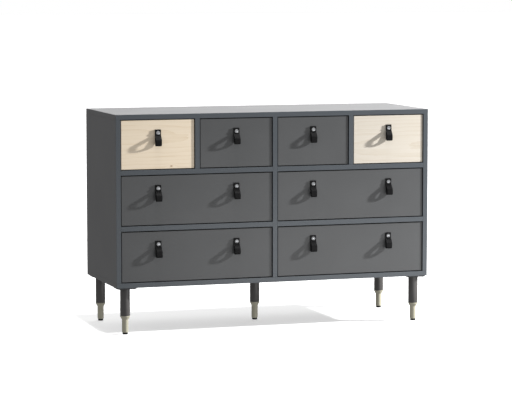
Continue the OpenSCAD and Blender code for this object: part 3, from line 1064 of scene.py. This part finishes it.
@dataclass(frozen=True)
class Screw:
    """A domed screw on a plain shank, modelled round +Z with its seat at the origin."""

    head: float
    height: float
    shank: float
    grip: float
    recess: Recess
    drive: float
    drive_depth: float
    rim: float = 0.7 * MM
    ease: float = 0.12 * MM
    steps: int = 48

    def surface(self) -> Surface:
        """Builds the screw.

        The rings go from the middle of the recess's floor, up its slightly drafted wall, over the
        dome to the rim, under the head and down the shank to its cone. The dome's height at radius r
        is rim + (height - rim) * (1 - (r / R) squared), and it begins just outside the recess.
        """
        a = np.linspace(0, 2 * np.pi, self.steps, endpoint=False)
        flat = np.ones_like(a)
        wall = recess_radius(self.recess, self.drive, a)
        big = self.head / 2
        dome_r = np.linspace(self.drive / 2 * 1.16, big * 0.985, 7)

        def dome(r: np.ndarray | float) -> np.ndarray:
            """Height of the dome at radius r."""
            return self.rim + (self.height - self.rim) * (1 - (np.asarray(r) / big) ** 2)

        floor = float(dome(0)) - self.drive_depth
        rows = [(0.5 * wall, floor), (wall * 0.94, floor), (wall, dome(wall))]
        rows += [(r, float(dome(r))) for r in dome_r]
        rows += [(big, self.rim * 0.7), (big, self.ease), (big - self.ease, 0.0), (self.shank / 2, 0.0)]
        rows += [(self.shank / 2, -self.grip + self.shank / 2), (self.shank / 8, -self.grip)]
        rings = [np.stack([r * np.cos(a), r * np.sin(a), z * flat], axis=1) for r, z in rows]
        return closed_tube(np.stack(rings)[::-1])

    def fitted(self, shell: CadShell, turn_degrees: float) -> Surface:
        """Puts the screw where a packed one is, as long as that one, with its drive turned.

        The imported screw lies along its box's longest side, and its head is the end where its points
        spread widest.

        Args:
            shell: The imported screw.
            turn_degrees: How far the drive is turned.

        Returns:
            The screw in place.
        """
        along = int(np.argmax(shell.size))
        across = [k for k in range(3) if k != along]
        spread = np.linalg.norm((shell.points - shell.middle)[:, across], axis=1)
        head = shell.points[spread > spread.max() * 0.9, along]
        up = head.mean() > shell.middle[along]
        seat, axis = shell.middle.copy(), np.zeros(3)
        seat[along] = head.min() if up else head.max()
        axis[along] = 1.0 if up else -1.0
        t = math.radians(turn_degrees)
        spin = np.array([[math.cos(t), -math.sin(t), 0], [math.sin(t), math.cos(t), 0], [0, 0, 1]])
        grip = float(shell.size[along] - (head.max() - head.min()))
        return replace(self, grip=grip).surface().rotated(frame_along(axis) @ spin).shifted(seat)


PULL_SCREW = Screw(14 * MM, 3.2 * MM, 5 * MM, 18 * MM, Recess.HEXAGON, 5.6 * MM, 2.4 * MM, steps=72)
FIXING_SCREW = Screw(7 * MM, 2.2 * MM, 3.5 * MM, 9.2 * MM, Recess.CROSS, 3.6 * MM, 1.4 * MM)


@dataclass(frozen=True)
class ChannelSection:
    """The section of a bent-steel channel: a web with a lip at each end, seen along its length."""

    height: float
    reach: float
    sheet: float = SHEET

    def surface(self, start: float, end: float) -> Surface:
        """Carries the section from start to end along Y.

        The section lies in the plane of X (away from the web's back) and Z. Its outer and inner
        corners are concentric arcs, the outer ones a sheet's thickness larger.

        Args:
            start: Y of the front end.
            end: Y of the rear end.

        Returns:
            The channel, its web's back at x = 0 and its middle height at z = 0.
        """
        half, t = self.height / 2, self.sheet
        inner, outer = 0.5 * t, 1.5 * t
        reach, low, high = self.reach, t - half, half - t
        outside = [(reach, -half, 0.0), (0.0, -half, outer), (0.0, half, outer), (reach, half, 0.0)]
        inside = [(reach, high, 0.0), (t, high, inner), (t, low, inner), (reach, low, 0.0)]
        outline = eased_outline(outside + inside)
        count = len(outline)
        rings = np.zeros((2, count, 3))
        rings[..., [0, 2]] = outline
        rings[0, :, 1], rings[1, :, 1] = start, end
        caps = [list(range(count))[::-1], list(range(count, 2 * count))]
        return Surface(rings.reshape(-1, 3), grid_quads(2, count).tolist() + caps)

    @classmethod
    def along(cls, shell: CadShell, rear: float = 0.0) -> Surface:
        """Makes a channel where a packed one is, its web at low X.

        Args:
            shell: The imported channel.
            rear: How far its rear end is drawn in.

        Returns:
            The channel in place.
        """
        section = cls(shell.size[2], shell.size[0]).surface(shell.low[1], shell.high[1] - rear)
        return section.shifted(np.array([shell.low[0], 0.0, shell.middle[2]]))


def mirrored_x(surface: Surface, plane: float) -> Surface:
    """Mirrors a surface in the plane x = plane and turns its faces round, so that they look outwards."""
    points = surface.points.copy()
    points[:, 0] = 2 * plane - points[:, 0]
    return Surface(points, [face[::-1] for face in surface.faces])


def guide_pad(shell: CadShell) -> Surface:
    """Makes a nylon pad with rounded edges where a packed one is."""
    return rounded_block(shell.low, shell.high, 0.5 * MM)


# ---------------------------------------------------------------- carcass


@dataclass
class Carcass:
    """The boards that stand still, their dowels, and what is fixed to them."""

    finishes: Finishes
    easing: float = 0.7 * MM
    back_easing: float = 0.4 * MM
    boards: tuple[str, ...] = (
        "top_panel",
        "bottom_panel",
        "left_side",
        "right_side",
        "centre_divider",
        "upper_left_shelf",
        "upper_right_shelf",
        "lower_left_shelf",
        "lower_right_shelf",
        "left_bay_divider",
        "right_bay_divider",
    )

    def build(self) -> None:
        """Makes the boards and gives the dowels their wood."""
        face, band = self.finishes.carcass_face, self.finishes.carcass_band
        for node in self.boards:
            board = eased_board(f"{node}_board", node, self.easing, face, band)
            dress(board, CARCASS, "graphite_board", node)
        back = eased_board("back_board", "back_panel", self.back_easing, self.finishes.hardboard)
        dress(back, CARCASS, "backboard", "back_panel")
        self._finish_node("panel_dowels", self.finishes.beech)

    def _finish_node(self, node: str, material: bpy.types.Material) -> None:
        """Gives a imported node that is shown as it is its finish."""
        piece = frame["nodes"][node]
        piece.data.materials.clear()
        piece.data.materials.append(material)
        log.info("%s keeps its packed shape", node)


@dataclass
class Runners:
    """The fixed channels with their pads and screws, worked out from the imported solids."""

    finishes: Finishes
    tab_reach: float = 8 * MM
    tab_half_height: float = 14 * MM
    tab_gap: float = 0.3 * MM
    tab_easing: float = 0.4 * MM

    def build(self) -> None:
        """Makes the channels, the pads and the screws, each screw's drive turned further than the last."""
        zinc, nylon = self.finishes.zinc, self.finishes.nylon
        channels = [self._channel(shell) for shell in shells_of("runner_channels")]
        skin("bent_channels", channels, zinc, CARCASS, "zinc_steel", "runner_channels")
        pads = [guide_pad(shell) for shell in shells_of("channel_pads")]
        skin("channel_guide_pads", pads, nylon, CARCASS, "nylon", "channel_pads")
        screws = [FIXING_SCREW.fitted(s, 37.0 * k) for k, s in enumerate(shells_of("carcass_screws"))]
        skin("carcass_fixing_screws", screws, zinc, CARCASS, "zinc_steel", "carcass_screws")

    def _channel(self, shell: CadShell) -> Surface:
        """Makes one channel with its stop tab, open towards the middle of its bay."""
        x, rear, z = shell.low[0], shell.high[1], shell.middle[2]
        low, high = z - self.tab_half_height, z + self.tab_half_height
        tab = rounded_block((x, rear - SHEET, low), (x + self.tab_reach, rear, high), self.tab_easing)
        strip = rounded_block((x, rear - 3 * SHEET, low), (x + SHEET, rear, high), self.tab_easing)
        whole = joined([ChannelSection.along(shell, SHEET + self.tab_gap), tab, strip])
        return whole if self._web_is_low(shell) else mirrored_x(whole, shell.middle[0])

    def _web_is_low(self, shell: CadShell) -> bool:
        """Tells whether the web is on the low-X side, where more of the solid's points lie."""
        x, middle = shell.points[:, 0], shell.middle[0]
        return bool((x < middle).sum() > (x > middle).sum())


# ---------------------------------------------------------------- legs


@dataclass
class Legs:
    """Five turned legs: plate, post, tip and glide."""

    finishes: Finishes
    stud: float = 8.1 * MM
    stud_depth: float = 31 * MM
    spigot: float = 12 * MM
    spigot_length: float = 18 * MM
    spigot_clearance: float = 0.05 * MM
    spigot_room: float = 1 * MM
    rim: float = 3 * MM
    taper: float = 11 * MM
    shaft: float = 23.5 * MM
    foot_chamfer: float = 1.6 * MM
    pin: float = 6 * MM
    pin_length: float = 14 * MM
    pin_clearance: float = 0.05 * MM
    pin_room: float = 1 * MM
    plate_easing: float = 0.35 * MM

    def build(self) -> None:
        """Makes the plates, posts, tips and glides."""
        posts, tips, glides = (shells_of(n) for n in ("leg_posts", "leg_tips", "leg_glides"))
        ground, foot, low = (shells[0].low[2] for shells in (glides, tips, posts))
        shoulder = tips[0].high[2] - self.spigot_length
        post = turned(self._post_outline(posts[0].size[0] / 2, low, posts[0].high[2]))
        tip = turned(self._tip_outline(tips[0].size[0] / 2, foot, shoulder))
        glide = turned(self._glide_outline(glides[0].size[0] / 2, ground, foot), 64)
        for name, shape, shells, material, slot, node in (
            ("turned_posts", post, posts, self.finishes.post, "leg_coating", "leg_posts"),
            ("turned_tips", tip, tips, self.finishes.tip, "cream_coating", "leg_tips"),
            ("moulded_glides", glide, glides, self.finishes.glide, "glide_plastic", "leg_glides"),
        ):
            copies = [shape.shifted(s.middle * (1, 1, 0)) for s in shells]
            skin(name, copies, material, CARCASS, slot, node)
        self._plates()

    def _post_outline(self, radius: float, low: float, high: float) -> np.ndarray:
        """Outline of the post, with its two blind bores and slightly rounded ends.

        Args:
            radius: Radius of the post.
            low: Height of its lower end.
            high: Height of its upper end.

        Returns:
            Radius and height of each point.
        """
        bore = self.spigot / 2 + self.spigot_clearance
        bore_top = low + self.spigot_length + self.spigot_room
        return eased_outline(
            [
                (0, bore_top, 0),
                (bore, bore_top, 0),
                (bore, low, 0.3 * MM),
                (radius, low, 0.8 * MM),
                (radius, high, 0.8 * MM),
                (self.stud / 2, high, 0.3 * MM),
                (self.stud / 2, high - self.stud_depth, 0),
                (0, high - self.stud_depth, 0),
            ]
        )

    def _tip_outline(self, radius: float, low: float, shoulder: float) -> np.ndarray:
        """Outline of the tip: a short rim, a taper with soft shoulders, the shaft and the spigot.

        Args:
            radius: Radius of the rim.
            low: Height of the tip's foot.
            shoulder: Height at which it meets the post.

        Returns:
            Radius and height of each point.
        """
        shaft, spigot, top = self.shaft / 2, self.spigot / 2, shoulder + self.spigot_length
        pin = self.pin / 2 + self.pin_clearance
        pin_top = low + self.pin_length + self.pin_room
        return eased_outline(
            [
                (0, pin_top, 0),
                (pin, pin_top, 0),
                (pin, low, 0),
                (shaft - self.foot_chamfer, low, 0.3 * MM),
                (shaft, low + self.foot_chamfer, 0.8 * MM),
                (shaft, shoulder - self.rim - self.taper, 5 * MM),
                (radius, shoulder - self.rim, 2.2 * MM),
                (radius, shoulder, 0.6 * MM),
                (spigot, shoulder, 0.3 * MM),
                (spigot, top, 0.5 * MM),
                (0, top, 0),
            ],
            6,
        )

    def _glide_outline(self, radius: float, low: float, high: float) -> np.ndarray:
        """Outline of the glide: a button with a rounded foot and the pin that goes up into the tip.

        Args:
            radius: Radius of the button.
            low: Height of the floor.
            high: Height of the tip's foot.

        Returns:
            Radius and height of each point.
        """
        pin, top = self.pin / 2, high + self.pin_length
        foot = [(0, low, 0), (radius, low, 1.6 * MM), (radius, high, 0.4 * MM)]
        return eased_outline(foot + [(pin, high, 0.2 * MM), (pin, top, 0.6 * MM), (0, top, 0)])

    def _plates(self) -> None:
        """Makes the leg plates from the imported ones, with their rims eased all round."""
        whole = merged_node("leg_plates")
        shape = Surface(whole.points, whole.triangles.tolist())
        plates = to_object("pressed_leg_plates", shape, self.finishes.plate, 30.0)
        eased_edges(plates, self.plate_easing, 2, "ANGLE").angle_limit = math.radians(60)
        dress(plates, CARCASS, "leg_coating", "leg_plates")


# ---------------------------------------------------------------- pulls and drawers


def travelled(line: np.ndarray) -> np.ndarray:
    """Gives the length of a path up to each of its points."""
    return np.concatenate([[0], np.cumsum(np.linalg.norm(np.diff(line, axis=0), axis=1))])


@dataclass(frozen=True)
class StrapShape:
    """How one leather strap hangs: how far it stands out and how it leans.

    The sag is the share of the reach by which the inner layer stands off the front at the fold.
    """

    width: float = 22 * MM
    thickness: float = 2.4 * MM
    head: float = 12 * MM
    drop: float = 46 * MM
    reach: float = 23.4 * MM
    lean: float = 0.0
    swing: float = 0.0
    corner: float = 1.6 * MM
    parting: float = 9 * MM
    shoulder: float = 27 * MM
    sag: float = 0.3
    fold: float = 6.5 * MM
    dent: float = 0.35 * MM
    dent_reach: float = 7 * MM
    layer_gap: float = 0.04 * MM
    along: int = 120

    def centre_line(self) -> np.ndarray:
        """Follows the strap's middle as (distance out, height above the screw).

        It runs down the front to where the layers part, hangs away from the front, turns outwards
        and up at full reach, leans back from its shoulder to the parting, and goes up beside the
        inner layer. Every corner is an arc that touches both its sides, and the points are then
        spaced evenly along the path.

        Returns:
            The points, from the inner layer's upper end to the outer layer's.
        """
        t = self.thickness
        inner, outer, low = self.sag * self.reach + t / 2, self.reach - t / 2, t / 2 - self.drop
        fold = min(self.fold, (outer - inner) / 2)
        beside = 1.5 * t + self.layer_gap
        raw = eased_outline(
            [
                (t / 2, self.head, 0),
                (t / 2, -self.parting, 12 * MM),
                (inner, low, fold),
                (outer, low, fold),
                (outer, -self.shoulder, 10 * MM),
                (beside, -self.parting, 6 * MM),
                (beside, self.head, 0),
            ],
            14,
        )
        step = travelled(raw)
        even = np.linspace(0, step[-1], self.along)
        return np.stack([np.interp(even, step, raw[:, k]) for k in range(2)], axis=1)

    def surface(self) -> Surface:
        """Carries a rounded rectangle along the centre line.

        A point of the section lies at the line's point + across * x + normal * n, where (x, n) goes
        round a rectangle of the strap's width and thickness with rounded edges. The width narrows
        at the two ends along a circle, which rounds the strap's corners, and the screw's head dents
        the outer layer by a bell of the distance from it. Lower points shift sideways by lean for
        each unit of height, and outer ones by swing for each unit out.

        Returns:
            The closed strap, its screw's seat at the origin.
        """
        line = self.centre_line()
        tangent = np.gradient(line, axis=0)
        tangent /= np.linalg.norm(tangent, axis=1, keepdims=True)
        normal = np.stack([tangent[:, 1], -tangent[:, 0]], axis=1)
        edge = 0.45 * self.thickness
        w, h = self.width / 2, self.thickness / 2
        x, y = w - edge, h - edge
        middles = enumerate(((x, y), (-x, y), (-x, -y), (x, -y)))
        quarter = [arc(middle, edge, 90 * k, 90 * (k + 1), 5) for k, middle in middles]
        flat = np.linspace(1, -1, 9)[1:-1, None] * np.array([[w - edge, 0]])
        section = np.vstack([quarter[0], flat + [0, h], quarter[1], quarter[2], -flat - [0, h], quarter[3]])
        path = travelled(line)
        from_end = np.minimum(path, path[-1] - path)
        within = np.clip(self.corner - from_end, 0, None)
        pinch = self.corner - np.sqrt(self.corner**2 - within**2)
        narrow = 1 - pinch / w
        dent = np.exp(-((line[:, 1] / self.dent_reach) ** 2)) * (line[:, 0] > self.thickness)
        out = line[:, 0] - self.dent * dent
        rings = np.empty((len(line), len(section), 3))
        rings[..., 0] = section[:, 0] * narrow[:, None]
        rings[..., 1] = -(out[:, None] + normal[:, :1] * section[:, 1])
        rings[..., 2] = line[:, 1:] + normal[:, 1:] * section[:, 1]
        below = np.clip(-rings[..., 2] - self.parting, 0, None)
        beyond = np.clip(-rings[..., 1] - 2 * self.thickness, 0, None)
        rings[..., 0] += self.lean * below + self.swing * beyond
        return closed_tube(rings)


@dataclass
class Drawer:
    """One drawer: front, box, bottom, slides, pads, screws and pulls.

    Each strap's reach is drawn from a span, and its lean and swing go up to a limit either way. Its
    drop grows by drop_per_reach for each unit that its reach falls short of the span's upper end.
    """

    name: str
    finishes: Finishes
    front_finish: bpy.types.Material
    front_slot: str
    variety: np.random.Generator
    easing: float = 0.8 * MM
    box_easing: float = 0.5 * MM
    bottom_easing: float = 0.3 * MM
    slide_from: float = 300 * MM
    pad_from: float = 30 * MM
    pull_screw_from: float = 10 * MM
    reach_mm: tuple[float, float] = (17.5, 22.8)
    lean: float = 0.035
    swing: float = 0.06
    drop_per_reach: float = 0.59

    @property
    def body(self) -> str:
        """The CAD body that the drawer is."""
        return f"{self.name}_drawer"

    def build(self) -> None:
        """Makes every piece of the drawer."""
        grey_board = self.finishes.drawer_face
        for part, piece, easing, finish, slot in (
            ("front", "front_board", self.easing, self.front_finish, self.front_slot),
            ("box", "box_boards", self.box_easing, grey_board, "drawer_board"),
            ("bottom", "bottom_board", self.bottom_easing, grey_board, "drawer_board"),
        ):
            node = f"{self.name}_{part}"
            board = eased_board(f"{self.name}_{piece}", node, easing, finish)
            dress(board, self.body, slot, node)
        self._fittings()
        self._straps()

    def _fittings(self) -> None:
        """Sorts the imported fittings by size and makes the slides, pads and screws."""
        node = f"{self.name}_fittings"
        slides, pads, small, large = [], [], [], []
        for number, shell in enumerate(shells_of(node)):
            if shell.size[1] > self.slide_from:
                slides.append(self._slide(shell))
            elif shell.size[1] > self.pad_from:
                pads.append(guide_pad(shell))
            elif shell.size.min() > self.pull_screw_from:
                large.append(PULL_SCREW.fitted(shell, float(self.variety.uniform(0, 60))))
            else:
                small.append(FIXING_SCREW.fitted(shell, 41.0 * number))
        zinc, nylon, nickel = self.finishes.zinc, self.finishes.nylon, self.finishes.nickel
        skin(f"{self.name}_bent_slides", slides, zinc, self.body, "bright_steel", node)
        skin(f"{self.name}_guide_pads", pads, nylon, self.body, "nylon", node)
        skin(f"{self.name}_fixing_screws", small, zinc, self.body, "zinc_steel", node)
        skin(f"{self.name}_pull_screws", large, nickel, self.body, "bright_steel", node)

    def _slide(self, shell: CadShell) -> Surface:
        """Makes one slide, open towards its bay wall."""
        placed = ChannelSection.along(shell)
        on_left = shell.middle[0] < np.mean([c[0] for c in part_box(f"{self.name}_box")])
        return mirrored_x(placed, shell.middle[0]) if on_left else placed

    def _straps(self) -> None:
        """Makes the leather straps, each hanging a little differently.

        All are cut to one length, 130 mm, so one that stands out less hangs lower: each millimetre
        of reach takes 1.18 mm of strap, which is shared by its two layers.
        """
        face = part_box(f"{self.name}_front")[0][1]
        straps = []
        for shell in shells_of(f"{self.name}_pulls"):
            reach = float(self.variety.uniform(*self.reach_mm)) * MM
            shape = StrapShape(
                reach=reach,
                drop=StrapShape.drop + self.drop_per_reach * (self.reach_mm[1] * MM - reach),
                lean=float(self.variety.uniform(-self.lean, self.lean)),
                swing=float(self.variety.uniform(-self.swing, self.swing)),
            )
            seat = np.array([shell.middle[0], face, shell.high[2] - shape.head])
            straps.append(shape.surface().shifted(seat))
        piece = to_object(f"{self.name}_leather_pulls", joined(straps), self.finishes.leather, 60.0)
        dress(piece, self.body, "strap_leather", f"{self.name}_pulls")


# ---------------------------------------------------------------- studio


@dataclass(frozen=True)
class Studio:
    """A pale floor, a lamp overhead for it and one for the dresser, two lamps in front, the camera."""

    camera_place: tuple[float, float, float] = (-2.7215, -8.3592, 1.3063)
    yaw_degrees: float = 18.17
    pitch_degrees: float = 5.649
    lens: float = 166.0
    shift_x: float = -0.014
    key_place: tuple[float, float, float] = (3.3, -0.96, 1.72)
    key_power: float = 325.0
    key_size: float = 0.14
    overhead_strength: float = 1.7
    overhead_place: tuple[float, float, float] = (0.0, -0.05, 1.0)
    overhead_degrees: float = 3.0
    shadow_place: tuple[float, float, float] = (0.035, -0.17, 1.0)
    shadow_degrees: float = 1.5
    fill_place: tuple[float, float, float] = (0.65, -1.15, 0.1)
    fill_power: float = 4.4
    fill_size: tuple[float, float] = (1.7, 0.4)
    room_dim: float = 0.4
    room_bright: float = 2.3
    floor_glow: float = 0.5
    floor_half: float = 60.0
    wall_edges: dict[str, tuple[float, float]] = field(
        default_factory=lambda: {"X": (-0.1, 0.45), "Y": (0.1, 0.6), "Z": (-0.15, 0.1)}
    )

    def build(self) -> None:
        """Makes the camera, the lamps, the room's light and the floor."""
        self._camera()
        self._lamps(self._floor())
        self._room()

    def _camera(self) -> None:
        """Stands the camera to the front left, level with the top and tilted down a little."""
        data = bpy.data.cameras.new("camera")
        data.lens = self.lens
        data.sensor_width = 36.0
        data.shift_x = self.shift_x
        data.clip_end = 100.0
        camera = bpy.data.objects.new("camera", data)
        yaw, pitch = math.radians(self.yaw_degrees), math.radians(self.pitch_degrees)
        level = math.cos(pitch)
        forward = Vector((math.sin(yaw) * level, math.cos(yaw) * level, -math.sin(pitch)))
        camera.location = self.camera_place
        camera.rotation_euler = forward.to_track_quat("-Z", "Y").to_euler()
        bpy.context.scene.collection.objects.link(camera)
        bpy.context.scene.camera = camera

    def _lamps(self, floor: bpy.types.Object) -> None:
        """Places the lamps: one at the right, a low broad one in front, and two far ones overhead.

        The two overhead are of one strength. One lights the dresser from straight above, and the
        other lights the floor alone and sets where the dresser's shadow falls.

        Args:
            floor: The floor, which the lamps overhead tell apart from everything else.
        """
        key = self._lamp("key_lamp", "AREA", self.key_place, (0.0, 0.0, 0.4), self.key_power)
        key.data.shape = "DISK"
        key.data.size = self.key_size
        key.visible_glossy = False
        fill = self._lamp("fill_lamp", "AREA", self.fill_place, (0.2, 0.0, 0.3), self.fill_power)
        fill.data.shape = "RECTANGLE"
        fill.data.size, fill.data.size_y = self.fill_size
        above = (
            ("overhead_lamp", self.overhead_place, self.overhead_degrees, "EXCLUDE"),
            ("floor_lamp", self.shadow_place, self.shadow_degrees, "INCLUDE"),
        )
        for name, place, angle, state in above:
            lamp = self._lamp(name, "SUN", place, (0.0, 0.0, 0.0), self.overhead_strength)
            lamp.data.angle = math.radians(angle)
            group = bpy.data.collections.new(f"{name}_floor")
            group.objects.link(floor)
            group.collection_objects[0].light_linking.link_state = state
            lamp.light_linking.receiver_collection = group

    def _lamp(
        self, name: str, kind: str, place: Sequence[float], towards: Sequence[float], power: float
    ) -> bpy.types.Object:
        """Adds one lamp that the camera doesn't see.

        Args:
            name: The lamp's name.
            kind: Blender's kind of light.
            place: Where it stands.
            towards: The point that it is turned to.
            power: Its power in watts, or its strength when it is a sun.

        Returns:
            The linked lamp.
        """
        data = bpy.data.lights.new(name, kind)
        data.energy = power
        lamp = bpy.data.objects.new(name, data)
        lamp.location = place
        lamp.rotation_euler = (Vector(towards) - Vector(place)).to_track_quat("-Z", "Y").to_euler()
        lamp.visible_camera = False
        bpy.context.scene.collection.objects.link(lamp)
        return lamp

    def _room(self) -> None:
        """Lights the room: dim all round, with one bright wall behind the dresser at the right.

        The strength at a unit direction is room_dim + (room_bright - room_dim) * u * v * w. Each of
        u, v and w goes smoothly from 0 to 1: u along x, v along y and w along z. The picture's
        backdrop is white.
        """
        world = bpy.data.worlds.new("studio_room")
        nodes = Nodes(world)
        direction = nodes.add("ShaderNodeTexCoord", {}, "Generated")
        parts = add(nodes.tree, "ShaderNodeSeparateXYZ", {"Vector": direction}).outputs
        edges = [
            nodes.remap(parts[axis], 0.0, 1.0, start, end, "SMOOTHSTEP")
            for axis, (start, end) in self.wall_edges.items()
        ]
        wall = nodes.maths("MULTIPLY", nodes.maths("MULTIPLY", edges[0], edges[1]), edges[2])
        level = nodes.maths("MULTIPLY_ADD", wall, self.room_bright - self.room_dim, self.room_dim)
        room = nodes.add("ShaderNodeBackground", {"Color": grey(1.0), "Strength": level})
        backdrop = nodes.add("ShaderNodeBackground", {"Color": grey(1.0), "Strength": 1.0})
        seen = nodes.add("ShaderNodeLightPath", {}, "Is Camera Ray")
        mix = nodes.add("ShaderNodeMixShader", {0: seen, 1: room, 2: backdrop})
        add(nodes.tree, "ShaderNodeOutputWorld", {"Surface": mix})
        bpy.context.scene.world = world
        bpy.context.scene.view_settings.view_transform = "Standard"

    def _floor(self) -> bpy.types.Object:
        """Lays a plain pale floor that glows a little and doesn't light the dresser from below."""
        mesh = bpy.data.meshes.new("studio_floor")
        h = self.floor_half
        mesh.from_pydata([(-h, -h, 0), (h, -h, 0), (h, h, 0), (-h, h, 0)], [], [(0, 1, 2, 3)])
        looks = {"Base Color": grey(0.8), "Roughness": 0.9, "Specular IOR Level": 0.0}
        glow = {"Emission Color": grey(1.0), "Emission Strength": self.floor_glow}
        mesh.materials.append(Paint("studio_floor_paint").finished({**looks, **glow}))
        floor = bpy.data.objects.new("studio_floor", mesh)
        floor.visible_diffuse = False
        floor.visible_glossy = False
        bpy.context.scene.collection.objects.link(floor)
        return floor


# ---------------------------------------------------------------- the whole dresser


def corners(box: tuple[Vector, Vector]) -> list[list[float]]:
    """Turns a box into plain lists of numbers."""
    return [[float(c) for c in corner] for corner in box]


def main() -> None:
    """Builds the studio, the carcass, the legs and the drawers."""
    logging.basicConfig(level=logging.INFO, format="%(name)s: %(message)s")
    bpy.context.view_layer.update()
    finishes = Finishes()
    Studio().build()
    Carcass(finishes).build()
    Runners(finishes).build()
    Legs(finishes).build()
    # Each pale front takes its own veneer copy, painted paler at the left and darker at the right to stand
    # in for the key light.
    pale = {"top_outer_left": finishes.left_veneer_painted_paler, "top_outer_right": finishes.right_veneer_painted_darker}
    for number, joint in enumerate(frame["joints"]):
        name = joint["child"].removesuffix("_drawer")
        finish = pale.get(name, finishes.front_face)
        slot = "pale_wood" if name in pale else "graphite_front"
        Drawer(name, finishes, finish, slot, np.random.default_rng(SEED + number)).build()


if __name__ == "__main__":
    main()
